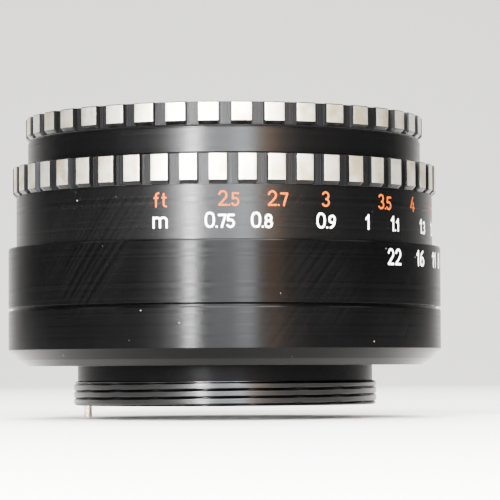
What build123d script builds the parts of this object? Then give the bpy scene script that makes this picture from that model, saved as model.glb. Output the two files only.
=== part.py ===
from build123d import *
import math
import os

# A 50 mm f/2.8 prime lens with an M42 screw mount, in millimetres.
# The origin is the centre of the mount's flange face. +Z runs along the optical axis towards the
# front of the lens, and +X points at the index line, which is uppermost on a camera.
# The lens is modelled focused at about 1.9 m, with its iris fully open.

# Barrel
BARREL_R = 30.0
BARREL_BORE_R = 27.7
REAR_CHAMFER_R = 27.3
REAR_CHAMFER_TOP = 2.25
LIP_R = 21.5
LIP_BOTTOM = 1.5
LIP_TOP = 3.0
REAR_BARREL_TOP = 7.6
SEAM_R = 29.4
SEAM_TOP = 8.0
SCALE_FLANGE_TOP = 9.5
SCALE_BORE_R = 29.1
BARREL_TOP = 16.2

# Screw mount
THREAD_R = 21.0
COLLAR_R = 20.45
MOUNT_BORE_R = 19.8
FLANGE_R = 25.0
THREAD_END = -5.4
THREAD_START = -2.1
LEDGE_R = 18.2
LEDGE_BOTTOM = -3.6
LEDGE_TOP = -2.4
PLATE_HOLE_R = 10.5
PLATE_THICKNESS = 0.8

# Automatic aperture pin and its bell crank
PIN_RADIUS_FROM_AXIS = 19.05
PIN_R = 0.55
PIN_TIP = -7.25
PIN_HEAD = -2.2
PIN_COLLAR_R = 0.7
PIN_COLLAR_BOTTOM = -3.5
PIN_COLLAR_TOP = -3.0
PIVOT_Y = 3.0
PIVOT_Z = -1.6
PIVOT_R = 0.4
HUB_R = 0.75
ARM_HALF_HEIGHT = 0.4
PIN_ARM_REACH = 3.7
RING_ARM_REACH = 3.6
RING_ARM_HALF_WIDTH = 0.6
PIN_ARM_OUTER_X = 19.2
PIN_ARM_INNER_X = 18.4
RING_ARM_OUTER_X = 17.7
RING_ARM_INNER_X = 16.9

# Helicoid and focusing ring
HELICOID_R = 24.5
HELICOID_GAP = 0.06
HELICOID_OUTER_WALL_R = 25.6
HELICOID_OUTER_TOP = 13.5
HELICOID_FLANGE_R = 27.6
HELICOID_FLANGE_TOP = 4.2
HELICOID_INNER_BOTTOM = 7.0
HELICOID_SHOULDER_BOTTOM = 16.5
HELICOID_SHOULDER_TOP = 18.0
HELICOID_SHOULDER_R = 27.3
HELICOID_RETAINER_R = 24.3
FOCUS_BORE_R = 27.4
FOCUS_SLEEVE_R = 28.9
FOCUS_GRIP_R = 29.4
FOCUS_SLEEVE_BOTTOM = 12.0
FOCUS_GRIP_BOTTOM = 23.3
FOCUS_GRIP_TOP = 27.3
FOCUS_FLANGE_TOP = 19.5
FOCUS_FLANGE_BORE_R = 24.6
FOCUS_TEETH = 48
FOCUS_TOOTH_ANGLE = 1.1
FOCUS_GAP_WIDTH = 1.47
FOCUS_TURN_OUT = 96.0
FOCUS_TURN_IN = 54.9
STOP_RADIUS = 26.5
STOP_PIN_R = 0.5
STOP_CLEARANCE = 0.1
STOP_SCREW_BOTTOM = 9.0
STOP_POST_TOP = 12.5

# Optical block
CARRIER_R = 22.8
CARRIER_BORE_R = 21.0
CARRIER_BOTTOM = 6.0
CARRIER_FLANGE_R = 27.0
CARRIER_FLANGE_BOTTOM = 26.5
CARRIER_TOP = 27.4
WEB_BOTTOM = 8.8
WEB_TOP = 10.4
KEY_WIDTH = 4.0
KEY_SLOT_WIDTH = 4.1
KEY_SLOT_TOP = 14.0
KEY_TOP = 12.0
KEY_FOOT_TOP = 4.0
CELL_R = 12.15
CELL_BOTTOM = 4.3
CELL_TOP = 17.6
FRONT_ELEMENT_R = 10.0
MIDDLE_ELEMENT_R = 7.5
REAR_ELEMENT_R = 8.5
REAR_CELL_R = 10.0

# Cooke triplet: surface radius, positive where its centre lies behind it, and vertex height
FRONT_SURFACES = ((22.01, 16.43), (-435.76, 13.17))
MIDDLE_SURFACES = ((-22.21, 7.17), (20.29, 6.17))
REAR_SURFACES = ((79.68, 1.42), (-18.395, -1.98))

# Iris
IRIS_BLADES = 6
IRIS_OPEN_R = 7.7
IRIS_BASE_BOTTOM = 1.75
IRIS_BASE_TOP = 2.25
IRIS_BOSS_BOTTOM = -0.5
HOUSING_R = 16.4
HOUSING_BORE_R = 14.86
BLADE_INNER_R = 8.0
BLADE_OUTER_R = 10.4
BLADE_THICKNESS = 0.1
BLADE_PITCH = 0.15
BLADE_START = 2.35
BLADE_TAIL_ANGLE = 6.0
BLADE_TIP_ANGLE = -88.0
BLADE_PIVOT_AT = 11.5
BLADE_POST_R = 0.4
BLADE_HOLE_R = 0.44
BLADE_PEG_AT = 14.0
BLADE_PEG_R = 0.4
POST_TOP = 3.3
DRIVE_BOTTOM = 3.4
DRIVE_TOP = 4.0
DRIVE_R = 14.8
DRIVE_BORE_R = 12.4
DRIVE_SLOT_WIDTH = 1.0
TAB_NEAR_Y = 4.0
TAB_FAR_Y = 5.2
TAB_BOTTOM = -1.4

# Front end
FILTER_THREAD_R = 24.1
FILTER_RING_R = 25.4
FILTER_BASE_TOP = 29.0
FILTER_BASE_BORE_R = 21.2
FRONT_RIM = 34.2
RIM_LIP_R = 26.2
RIM_LIP_BOTTOM = 33.6
NAME_RING_BORE_R = 17.2
NAME_RING_R = 23.6
NAME_RING_TOP = 30.0
FILTER_THREAD_START = 30.3
FILTER_RELIEF_R = 24.4
CONE_FRONT_R = 17.0
CONE_REAR_R = 10.8
CONE_WALL = 0.8

# Aperture ring
APERTURE_BORE_R = 25.45
APERTURE_BAND_R = 27.3
APERTURE_GRIP_R = 27.6
APERTURE_BOTTOM = 27.5
APERTURE_GRIP_BOTTOM = 30.5
APERTURE_TOP = 34.1
APERTURE_TEETH = 40
APERTURE_GAP_WIDTH = 1.6
GROOVE_DEPTH = 0.75
GRIP_CHAMFER = 0.5
GRIP_EDGE = 0.14
CLICK_ANGLE = 11.0
CLICK_STOPS = 7
CLICK_NOTCH_R = 0.6
DETENT_Z = 28.2
DETENT_ANGLE = 90.0
DETENT_BALL_R = 0.6
DETENT_BALL_AT = 25.05

FIT_GAP = 0.05


def turned(*outline):
    """A solid turned about the optical axis from its outline in (radius, height) points."""
    return revolve(Plane.XZ * make_face(Polyline(*outline, close=True)), Axis.Z)


def ring(inner, outer, bottom, top):
    return turned((inner, bottom), (outer, bottom), (outer, top), (inner, top))


def post(radius, bottom, top):
    """An upright cylinder on the Z axis."""
    return Pos(0, 0, bottom) * Cylinder(radius, top - bottom, align=(Align.CENTER, Align.CENTER, Align.MIN))


def block(low, high):
    """A box between two corners."""
    size = [high[i] - low[i] for i in range(3)]
    middle = [(high[i] + low[i]) / 2 for i in range(3)]
    return Pos(*middle) * Box(*size)


def polar(radius, angle, height=0.0):
    """A place at a radius and an angle about the optical axis, facing outwards."""
    return Rot(0, 0, angle) * Pos(radius, 0, height)


def evenly(count, start=0.0):
    return [start + 360 / count * step for step in range(count)]


def screw(head_r, head_height, shank_r, length):
    """A slotted screw along -Z, with the top of its head at the origin."""
    body = post(head_r, -head_height, 0) + post(shank_r, -length, -head_height)
    slot_half, slot_floor = 0.14, -0.55 * head_height
    return body - block((-head_r - 1, -slot_half, slot_floor), (head_r + 1, slot_half, 1))


def screw_hole(head_r, head_height, shank_r, length):
    clearance = 0.02
    head = post(head_r + clearance, -head_height - clearance, 1.5)
    return head + post(shank_r + clearance, -length - clearance, -head_height)


class ScrewSet:
    """Identical screws spaced about the optical axis, with the holes that they sit in."""

    def __init__(self, sizes, radius, height, angles, from_rear=False):
        flip = Rot(180, 0, 0) if from_rear else Rot(0, 0, 0)
        self.places = [polar(radius, angle, height) * flip for angle in angles]
        self.sizes = sizes

    def solids(self):
        return Compound(children=[place * screw(*self.sizes) for place in self.places])

    def drill(self, part):
        for place in self.places:
            part -= place * screw_hole(*self.sizes)
        return part


MOUNT_SCREWS = ScrewSet((0.95, 0.6, 0.55, 2.6), 22.9, 0.0, evenly(3, 60), from_rear=True)
BARREL_SCREWS = ScrewSet((0.9, 0.6, 0.55, 4.0), 28.4, SCALE_FLANGE_TOP, evenly(3, 30))
HELICOID_SCREWS = ScrewSet((0.9, 0.6, 0.5, 2.4), 26.6, HELICOID_FLANGE_TOP, evenly(3, 90))
KEY_SCREWS = ScrewSet((0.75, 0.5, 0.45, 1.8), 23.4, KEY_FOOT_TOP, (90, 270))
PLATE_REAR = LEDGE_BOTTOM - PLATE_THICKNESS
PLATE_SCREWS = ScrewSet((0.7, 0.4, 0.45, 1.6), 19.0, PLATE_REAR, evenly(3, 20), from_rear=True)
FOCUS_SCREWS = ScrewSet((1.0, 0.7, 0.6, 2.6), 26.1, FOCUS_FLANGE_TOP, evenly(3, 45))
IRIS_SCREWS = ScrewSet((0.95, 0.6, 0.5, 4.6), 15.65, WEB_TOP, evenly(3, 60))
FILTER_RING_SCREWS = ScrewSet((0.9, 0.6, 0.5, 2.3), 22.3, FILTER_BASE_TOP, evenly(3, 30))


def lens_arc(surface, semi_diameter):
    """The vertex, middle and edge points of a spherical surface's meridian."""
    radius, vertex = surface

    def height(r):
        sag = abs(radius) - math.sqrt(radius**2 - r**2)
        return vertex - math.copysign(sag, radius)

    return [(r, height(r)) for r in (0, semi_diameter / 2, semi_diameter)]


def element(surfaces, semi_diameter):
    """A glass element between two spherical surfaces, front one first."""
    front, rear = (lens_arc(surface, semi_diameter) for surface in surfaces)
    outline = [
        Line(rear[0], front[0]),
        ThreePointArc(*front),
        Line(front[2], rear[2]),
        ThreePointArc(*reversed(rear)),
    ]
    return revolve(Plane.XZ * make_face(outline), Axis.Z)


# ---- Barrel, fixed to the camera ----


def mount_ring():
    part = turned(
        (MOUNT_BORE_R, THREAD_END),
        (THREAD_R, THREAD_END),
        (THREAD_R, THREAD_START),
        (COLLAR_R, THREAD_START),
        (COLLAR_R, 0),
        (FLANGE_R, 0),
        (FLANGE_R, LIP_BOTTOM),
        (MOUNT_BORE_R, LIP_BOTTOM),
        (MOUNT_BORE_R, LEDGE_TOP),
        (LEDGE_R, LEDGE_TOP),
        (LEDGE_R, LEDGE_BOTTOM),
        (MOUNT_BORE_R, LEDGE_BOTTOM),
    )
    ledge_notch = ring(0, MOUNT_BORE_R, LEDGE_BOTTOM, LEDGE_TOP) & block((-21, -8, -4), (-15, 8, -2))
    return PLATE_SCREWS.drill(MOUNT_SCREWS.drill(part - ledge_notch))


def rear_barrel():
    seat_r = FLANGE_R + FIT_GAP
    part = turned(
        (seat_r, 0),
        (REAR_CHAMFER_R, 0),
        (BARREL_R, REAR_CHAMFER_TOP),
        (BARREL_R, REAR_BARREL_TOP),
        (SEAM_R, REAR_BARREL_TOP),
        (SEAM_R, SEAM_TOP),
        (BARREL_BORE_R, SEAM_TOP),
        (BARREL_BORE_R, LIP_TOP),
        (LIP_R, LIP_TOP),
        (LIP_R, LIP_BOTTOM),
        (seat_r, LIP_BOTTOM),
    )
    for screws in (MOUNT_SCREWS, BARREL_SCREWS, HELICOID_SCREWS, KEY_SCREWS):
        part = screws.drill(part)
    return part


def scale_barrel():
    part = turned(
        (BARREL_BORE_R, SEAM_TOP),
        (BARREL_R, SEAM_TOP),
        (BARREL_R, BARREL_TOP),
        (SCALE_BORE_R, BARREL_TOP),
        (SCALE_BORE_R, SCALE_FLANGE_TOP),
        (BARREL_BORE_R, SCALE_FLANGE_TOP),
    )
    return BARREL_SCREWS.drill(part)


def helicoid_outer():
    bore_r = HELICOID_R + HELICOID_GAP
    part = turned(
        (bore_r, LIP_TOP),
        (HELICOID_FLANGE_R, LIP_TOP),
        (HELICOID_FLANGE_R, HELICOID_FLANGE_TOP),
        (HELICOID_OUTER_WALL_R, HELICOID_FLANGE_TOP),
        (HELICOID_OUTER_WALL_R, HELICOID_OUTER_TOP),
        (bore_r, HELICOID_OUTER_TOP),
    )
    return HELICOID_SCREWS.drill(part)


def focus_stop_posts():
    """Two posts that the focusing ring's stop screw meets at its ends of travel."""
    swept = math.degrees((2 * STOP_PIN_R + STOP_CLEARANCE) / STOP_RADIUS)
    ends = (180 + FOCUS_TURN_OUT + swept, 180 - FOCUS_TURN_IN - swept)
    stop = post(STOP_PIN_R, HELICOID_FLANGE_TOP, STOP_POST_TOP)
    return Compound(children=[polar(STOP_RADIUS, angle) * stop for angle in ends])


def guide_keys():
    """Two keys that stop the optical block from turning as it slides."""
    stem = block((20.9, -KEY_WIDTH / 2, LIP_TOP), (22.4, KEY_WIDTH / 2, KEY_TOP))
    stem -= block((20, -3, 0), (LIP_R + FIT_GAP, 3, LIP_TOP + FIT_GAP))
    foot = block((21.6, -KEY_WIDTH / 2, LIP_TOP), (24.4, KEY_WIDTH / 2, KEY_FOOT_TOP))
    keys = []
    for angle, place in zip((90, 270), KEY_SCREWS.places):
        keys.append(polar(0, angle) * (stem + foot) - place * screw_hole(*KEY_SCREWS.sizes))
    return Compound(children=keys)


def rear_plate():
    part = ring(PLATE_HOLE_R, MOUNT_BORE_R - FIT_GAP, PLATE_REAR, LEDGE_BOTTOM)
    part -= Pos(-PIN_RADIUS_FROM_AXIS, 0, 0) * post(PIN_R + 0.04, -6, -3)
    return PLATE_SCREWS.drill(part)


def lever_bracket():
    """An angle bracket on the rear plate, with the ear that carries the bell crank's pivot."""
    base = block((-16.7, 1.4, LEDGE_BOTTOM), (-13.2, 4.6, LEDGE_BOTTOM + 0.6))
    ear = block((-16.7, 2.0, LEDGE_BOTTOM), (-15.9, 4.0, -0.8))
    part = base + ear
    part -= Pos(0, PIVOT_Y, PIVOT_Z) * Rot(0, 90, 0) * Cylinder(PIVOT_R, 60)
    return part


def lever_pivot():
    inner_x = 15.6
    length = PIN_ARM_OUTER_X - inner_x
    centre_x = -(PIN_ARM_OUTER_X + inner_x) / 2
    return Pos(centre_x, PIVOT_Y, PIVOT_Z) * Rot(0, 90, 0) * Cylinder(PIVOT_R, length)


def lever_spring():
    """The coiled part of the torsion spring around the bell crank's hub."""
    coil = Cylinder(1.15, 0.5) - Cylinder(0.85, 2)
    return Pos(-18.05, PIVOT_Y, PIVOT_Z) * Rot(0, 90, 0) * coil


# ---- Automatic aperture drive ----


def aperture_pin():
    tip_chamfer = 0.2
    part = turned(
        (0, PIN_TIP),
        (PIN_R - tip_chamfer, PIN_TIP),
        (PIN_R, PIN_TIP + tip_chamfer),
        (PIN_R, PIN_COLLAR_BOTTOM),
        (PIN_COLLAR_R, PIN_COLLAR_BOTTOM),
        (PIN_COLLAR_R, PIN_COLLAR_TOP),
        (PIN_R, PIN_COLLAR_TOP),
        (PIN_R, PIN_HEAD),
        (0, PIN_HEAD),
    )
    return Pos(-PIN_RADIUS_FROM_AXIS, 0, 0) * part


def aperture_lever():
    """A bell crank: one arm lies over the pin, the other stands beside the iris ring's tab."""
    hub_length = PIN_ARM_OUTER_X - RING_ARM_INNER_X
    hub_x = -(PIN_ARM_OUTER_X + RING_ARM_INNER_X) / 2
    hub = Pos(hub_x, PIVOT_Y, PIVOT_Z) * Rot(0, 90, 0) * Cylinder(HUB_R, hub_length)
    pin_arm = block(
        (-PIN_ARM_OUTER_X, PIVOT_Y - PIN_ARM_REACH, PIVOT_Z - ARM_HALF_HEIGHT),
        (-PIN_ARM_INNER_X, PIVOT_Y, PIVOT_Z + ARM_HALF_HEIGHT),
    )
    ring_arm = block(
        (-RING_ARM_OUTER_X, PIVOT_Y - RING_ARM_HALF_WIDTH, PIVOT_Z),
        (-RING_ARM_INNER_X, PIVOT_Y + RING_ARM_HALF_WIDTH, PIVOT_Z + RING_ARM_REACH),
    )
    bore = Pos(hub_x, PIVOT_Y, PIVOT_Z) * Rot(0, 90, 0) * Cylinder(PIVOT_R + 0.04, 10)
    return hub + pin_arm + ring_arm - bore


def iris_drive_ring():
    """The slotted ring that swings every blade, with the tab that the bell crank pushes."""
    part = ring(DRIVE_BORE_R, DRIVE_R, DRIVE_BOTTOM, DRIVE_TOP)
    slot = block((13.0, -DRIVE_SLOT_WIDTH / 2, 3), (14.5, DRIVE_SLOT_WIDTH / 2, 5))
    for angle in evenly(IRIS_BLADES):
        part -= polar(0, angle) * slot
    part += block((-RING_ARM_OUTER_X, TAB_NEAR_Y, DRIVE_BOTTOM), (-13.4, TAB_FAR_Y, DRIVE_TOP))
    part += block(
        (-RING_ARM_OUTER_X, TAB_NEAR_Y, TAB_BOTTOM), (-RING_ARM_INNER_X, TAB_FAR_Y, DRIVE_TOP)
    )
    return part


def iris_blade(number):
    """One sickle-shaped blade, its pivot hole and the peg that runs in the drive ring."""
    bottom = BLADE_START + BLADE_PITCH * number
    wedge_angles = (BLADE_TAIL_ANGLE, -25, -57, BLADE_TIP_ANGLE)
    reach = 2 * BLADE_OUTER_R
    wedge = [(reach * math.cos(math.radians(a)), reach * math.sin(math.radians(a))) for a in wedge_angles]
    band = Circle(BLADE_OUTER_R) - Circle(BLADE_INNER_R)
    band = band & make_face(Polyline((0, 0), *wedge, close=True))
    lug_width = 1.5
    lug = Pos((8.6 + BLADE_PEG_AT) / 2, 0) * Rectangle(BLADE_PEG_AT - 8.6, lug_width)
    outline = band + lug + Pos(BLADE_PEG_AT, 0) * Circle(lug_width / 2)
    outline += Pos(BLADE_PIVOT_AT, 0) * Circle(1.1)
    outline -= Pos(BLADE_PIVOT_AT, 0) * Circle(BLADE_HOLE_R)
    blade = Pos(0, 0, bottom) * extrude(outline, amount=BLADE_THICKNESS)
    blade += Pos(BLADE_PEG_AT, 0, 0) * post(BLADE_PEG_R, bottom, DRIVE_TOP - 0.05)
    return Rot(0, 0, 360 / IRIS_BLADES * number) * blade


# ---- Optical block, which slides as the lens is focused ----


def carrier():
    shoulder_r = 24.2
    part = turned(
        (CARRIER_BORE_R, CARRIER_BOTTOM),
        (CARRIER_R, CARRIER_BOTTOM),
        (CARRIER_R, HELICOID_SHOULDER_TOP + FIT_GAP),
        (shoulder_r, HELICOID_SHOULDER_TOP + FIT_GAP),
        (shoulder_r, 19.0),
        (CARRIER_R, 19.0),
        (CARRIER_R, CARRIER_FLANGE_BOTTOM),
        (CARRIER_FLANGE_R, CARRIER_FLANGE_BOTTOM),
        (CARRIER_FLANGE_R, CARRIER_TOP),
        (CARRIER_BORE_R, CARRIER_TOP),
        (CARRIER_BORE_R, WEB_TOP),
        (CELL_R + FIT_GAP, WEB_TOP),
        (CELL_R + FIT_GAP, WEB_BOTTOM),
        (CARRIER_BORE_R, WEB_BOTTOM),
    )
    slot = block((20.6, -KEY_SLOT_WIDTH / 2, 5), (23.5, KEY_SLOT_WIDTH / 2, KEY_SLOT_TOP))
    for angle in (90, 270):
        part -= polar(0, angle) * slot
    return FILTER_RING_SCREWS.drill(IRIS_SCREWS.drill(part))


def helicoid_retainer():
    return ring(CARRIER_R, HELICOID_RETAINER_R, CARRIER_BOTTOM, HELICOID_INNER_BOTTOM - FIT_GAP)


def front_cell():
    """The tube that holds the front two elements, threaded into the carrier's web."""
    seat_r = MIDDLE_ELEMENT_R + FIT_GAP
    bore_r = FRONT_ELEMENT_R + FIT_GAP
    shoulder_r = 13.4
    step = 8.6
    return turned(
        (7.1, CELL_BOTTOM),
        (CELL_R, CELL_BOTTOM),
        (CELL_R, WEB_TOP),
        (shoulder_r, WEB_TOP),
        (shoulder_r, WEB_TOP + 1.2),
        (CELL_R, WEB_TOP + 1.2),
        (CELL_R, CELL_TOP),
        (bore_r, CELL_TOP),
        (bore_r, step),
        (seat_r, step),
        (seat_r, 4.72),
        (7.1, 4.6),
    )


def lens_spacer():
    return turned((7.15, 8.48), (7.5, 8.48), (7.5, 8.62), (10.0, 8.62), (10.0, 13.26), (9.4, 13.26))


def front_retainer():
    return turned((9.3, 14.42), (10.0, 14.42), (10.0, 16.6), (9.8, 16.6))


def front_element():
    return element(FRONT_SURFACES, FRONT_ELEMENT_R)


def middle_element():
    return element(MIDDLE_SURFACES, MIDDLE_ELEMENT_R)


def rear_element():
    return element(REAR_SURFACES, REAR_ELEMENT_R)


def rear_cell():
    bore_r = REAR_ELEMENT_R + FIT_GAP
    return turned(
        (bore_r, -1.7),
        (REAR_CELL_R, -1.7),
        (REAR_CELL_R, IRIS_BASE_BOTTOM),
        (7.9, IRIS_BASE_BOTTOM),
        (7.9, 1.02),
        (bore_r, 0.98),
    )


def rear_retainer():
    return turned((8.2, -1.6), (REAR_ELEMENT_R, -1.6), (REAR_ELEMENT_R, -0.08), (7.9, -0.24))


def iris_housing():
    """The base that the blades pivot on, with its wall, the rear cell's boss and the posts."""
    part = turned(
        (IRIS_OPEN_R, IRIS_BASE_BOTTOM),
        (REAR_CELL_R + FIT_GAP, IRIS_BASE_BOTTOM),
        (REAR_CELL_R + FIT_GAP, IRIS_BOSS_BOTTOM),
        (11.2, IRIS_BOSS_BOTTOM),
        (11.2, IRIS_BASE_BOTTOM),
        (HOUSING_R, IRIS_BASE_BOTTOM),
        (HOUSING_R, WEB_BOTTOM),
        (HOUSING_BORE_R, WEB_BOTTOM),
        (HOUSING_BORE_R, IRIS_BASE_TOP),
        (IRIS_OPEN_R, IRIS_BASE_TOP),
    )
    for angle in evenly(IRIS_BLADES):
        part += polar(BLADE_PIVOT_AT, angle) * post(BLADE_POST_R, IRIS_BASE_TOP - 0.1, POST_TOP)
    tab_window = block((-18, 3.4, 3.2), (-12.8, 7.6, 4.3))
    return IRIS_SCREWS.drill(part - tab_window)


def iris_cover():
    """The ring that keeps the drive ring down on the blades."""
    return ring(DRIVE_BORE_R, HOUSING_BORE_R, DRIVE_TOP + FIT_GAP, 4.8)


def iris_spring():
    """The outline of the tension spring that pulls the drive ring back to fully open."""
    coil = Cylinder(0.5, 5.2) - Cylinder(0.3, 8)
    return Pos(-17.3, -0.6, 3.7) * Rot(90, 0, 0) * coil


def filter_ring():
    part = turned(
        (FILTER_BASE_BORE_R, CARRIER_TOP),
        (FILTER_RING_R, CARRIER_TOP),
        (FILTER_RING_R, RIM_LIP_BOTTOM),
        (RIM_LIP_R, RIM_LIP_BOTTOM),
        (RIM_LIP_R, FRONT_RIM),
        (FILTER_THREAD_R, FRONT_RIM),
        (FILTER_THREAD_R, FILTER_THREAD_START),
        (FILTER_RELIEF_R, FILTER_THREAD_START),
        (FILTER_RELIEF_R, NAME_RING_TOP),
        (NAME_RING_R, NAME_RING_TOP),
        (NAME_RING_R, FILTER_BASE_TOP),
        (FILTER_BASE_BORE_R, FILTER_BASE_TOP),
    )
    hole_r = DETENT_BALL_R + 0.02
    detent_hole = polar(0, DETENT_ANGLE) * Pos(25, 0, DETENT_Z) * Rot(0, 90, 0) * Cylinder(hole_r, 5.6)
    return FILTER_RING_SCREWS.drill(part - detent_hole)


def detent_ball():
    return polar(DETENT_BALL_AT, DETENT_ANGLE, DETENT_Z) * Sphere(DETENT_BALL_R)


def detent_spring():
    coil = Cylinder(0.5, 2.1) - Cylinder(0.32, 4)
    return polar(23.35, DETENT_ANGLE, DETENT_Z) * Rot(0, 90, 0) * coil


def front_cone():
    """The black funnel between the front cell and the name ring."""
    return turned(
        (CONE_REAR_R, CELL_TOP),
        (CONE_REAR_R + CONE_WALL, CELL_TOP),
        (CONE_FRONT_R + CONE_WALL, FILTER_BASE_TOP - 1.0),
        (CONE_FRONT_R + CONE_WALL, FILTER_BASE_TOP),
        (CONE_FRONT_R, FILTER_BASE_TOP),
    )


def name_ring():
    return ring(NAME_RING_BORE_R, NAME_RING_R - FIT_GAP, FILTER_BASE_TOP, NAME_RING_TOP)


# ---- Focusing ring ----


def grip_gaps(radius, count, width, bottom, tooth_angle=0.0):
    """The cutters for the straight grooves between a grip's teeth, one tooth being at tooth_angle."""
    over = bottom + 5.0
    cutter = block((radius - GROOVE_DEPTH, -width / 2, bottom), (radius + 2, width / 2, over))
    return [polar(0, angle) * cutter for angle in evenly(count, tooth_angle + 180 / count)]


def focus_ring():
    grip_foot = FOCUS_GRIP_BOTTOM + GRIP_CHAMFER
    part = turned(
        (FOCUS_BORE_R, FOCUS_SLEEVE_BOTTOM),
        (FOCUS_SLEEVE_R, FOCUS_SLEEVE_BOTTOM),
        (FOCUS_SLEEVE_R, FOCUS_GRIP_BOTTOM),
        (FOCUS_GRIP_R, grip_foot),
        (FOCUS_GRIP_R, FOCUS_GRIP_TOP - GRIP_EDGE),
        (FOCUS_GRIP_R - GRIP_EDGE, FOCUS_GRIP_TOP),
        (FOCUS_BORE_R, FOCUS_GRIP_TOP),
        (FOCUS_BORE_R, FOCUS_FLANGE_TOP),
        (FOCUS_FLANGE_BORE_R, FOCUS_FLANGE_TOP),
        (FOCUS_FLANGE_BORE_R, HELICOID_SHOULDER_TOP),
        (FOCUS_BORE_R, HELICOID_SHOULDER_TOP),
    )
    part -= grip_gaps(
        FOCUS_GRIP_R, FOCUS_TEETH, FOCUS_GAP_WIDTH, FOCUS_GRIP_BOTTOM, FOCUS_TOOTH_ANGLE
    )
    return FOCUS_SCREWS.drill(part)


def helicoid_inner():
    bore_r = CARRIER_R + HELICOID_GAP
    part = turned(
        (bore_r, HELICOID_INNER_BOTTOM),
        (HELICOID_R, HELICOID_INNER_BOTTOM),
        (HELICOID_R, HELICOID_SHOULDER_BOTTOM),
        (HELICOID_SHOULDER_R, HELICOID_SHOULDER_BOTTOM),
        (HELICOID_SHOULDER_R, HELICOID_SHOULDER_TOP),
        (bore_r, HELICOID_SHOULDER_TOP),
    )
    return FOCUS_SCREWS.drill(part)


def focus_stop_screw():
    return polar(STOP_RADIUS, 180) * post(STOP_PIN_R, STOP_SCREW_BOTTOM, HELICOID_SHOULDER_BOTTOM)


# ---- Aperture ring ----


def aperture_ring():
    grip_foot = APERTURE_GRIP_BOTTOM + GRIP_CHAMFER
    lip_clearance_r = RIM_LIP_R + 0.1
    lip_seat = RIM_LIP_BOTTOM - 0.1
    groove_r = APERTURE_BORE_R + 0.3
    groove_top = 28.9
    part = turned(
        (groove_r, APERTURE_BOTTOM),
        (APERTURE_BAND_R, APERTURE_BOTTOM),
        (APERTURE_BAND_R, APERTURE_GRIP_BOTTOM),
        (APERTURE_GRIP_R, grip_foot),
        (APERTURE_GRIP_R, APERTURE_TOP - GRIP_EDGE),
        (APERTURE_GRIP_R - GRIP_EDGE, APERTURE_TOP),
        (lip_clearance_r, APERTURE_TOP),
        (lip_clearance_r, lip_seat),
        (APERTURE_BORE_R, lip_seat),
        (APERTURE_BORE_R, groove_top),
        (groove_r, groove_top),
    )
    part -= grip_gaps(APERTURE_GRIP_R, APERTURE_TEETH, APERTURE_GAP_WIDTH, APERTURE_GRIP_BOTTOM)
    for step in range(CLICK_STOPS):
        notch = post(CLICK_NOTCH_R, APERTURE_BOTTOM - 1, groove_top)
        part -= polar(APERTURE_BORE_R - 0.1, DETENT_ANGLE + CLICK_ANGLE * step) * notch
    return part


PARTS = {
    "mount_ring": mount_ring,
    "mount_screws": MOUNT_SCREWS.solids,
    "rear_barrel": rear_barrel,
    "scale_barrel": scale_barrel,
    "barrel_screws": BARREL_SCREWS.solids,
    "helicoid_outer": helicoid_outer,
    "helicoid_screws": HELICOID_SCREWS.solids,
    "focus_stop_posts": focus_stop_posts,
    "guide_keys": guide_keys,
    "guide_key_screws": KEY_SCREWS.solids,
    "rear_plate": rear_plate,
    "rear_plate_screws": PLATE_SCREWS.solids,
    "lever_bracket": lever_bracket,
    "lever_pivot": lever_pivot,
    "lever_spring": lever_spring,
    "aperture_pin": aperture_pin,
    "aperture_lever": aperture_lever,
    "carrier": carrier,
    "helicoid_retainer": helicoid_retainer,
    "front_cell": front_cell,
    "lens_spacer": lens_spacer,
    "front_retainer": front_retainer,
    "front_element": front_element,
    "middle_element": middle_element,
    "rear_element": rear_element,
    "rear_cell": rear_cell,
    "rear_retainer": rear_retainer,
    "iris_housing": iris_housing,
    "iris_cover": iris_cover,
    "iris_screws": IRIS_SCREWS.solids,
    "iris_spring": iris_spring,
    "iris_drive_ring": iris_drive_ring,
    "filter_ring": filter_ring,
    "filter_ring_screws": FILTER_RING_SCREWS.solids,
    "detent_ball": detent_ball,
    "detent_spring": detent_spring,
    "front_cone": front_cone,
    "name_ring": name_ring,
    "focus_ring": focus_ring,
    "helicoid_inner": helicoid_inner,
    "focus_screws": FOCUS_SCREWS.solids,
    "focus_stop_screw": focus_stop_screw,
    "aperture_ring": aperture_ring,
}

os.makedirs("parts", exist_ok=True)
for node, make in PARTS.items():
    export_step(make(), f"parts/{node}.step")
for blade_number in range(IRIS_BLADES):
    export_step(iris_blade(blade_number), f"parts/iris_blade_{blade_number + 1}.step")
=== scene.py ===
import math

import bmesh
import bpy
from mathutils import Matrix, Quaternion, Vector


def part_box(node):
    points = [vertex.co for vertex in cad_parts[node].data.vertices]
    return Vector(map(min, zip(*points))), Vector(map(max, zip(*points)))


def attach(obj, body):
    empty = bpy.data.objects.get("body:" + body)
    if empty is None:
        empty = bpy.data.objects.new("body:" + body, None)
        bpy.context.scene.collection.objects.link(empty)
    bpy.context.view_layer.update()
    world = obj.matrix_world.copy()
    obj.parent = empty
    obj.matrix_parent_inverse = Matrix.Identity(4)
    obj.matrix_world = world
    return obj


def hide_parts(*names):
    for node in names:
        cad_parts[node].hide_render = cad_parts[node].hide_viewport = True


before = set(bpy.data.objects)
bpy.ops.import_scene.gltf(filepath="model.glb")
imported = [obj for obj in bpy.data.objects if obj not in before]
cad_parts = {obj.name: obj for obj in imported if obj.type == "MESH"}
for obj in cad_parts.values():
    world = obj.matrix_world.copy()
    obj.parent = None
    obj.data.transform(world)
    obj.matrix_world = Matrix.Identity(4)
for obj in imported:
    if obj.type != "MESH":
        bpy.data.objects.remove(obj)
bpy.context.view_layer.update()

# Looks of a vintage 50 mm prime lens. Sizes in this script are millimetres unless they say otherwise,
# and every mesh is written in metres, in the part's frame: +Z is the optical axis, +X the index line.

MM = 0.001
SEGMENTS = 192
EDGE = 0.08
EDGE_SHARE = 0.4
SHARP_ANGLE = math.radians(50)


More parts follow.
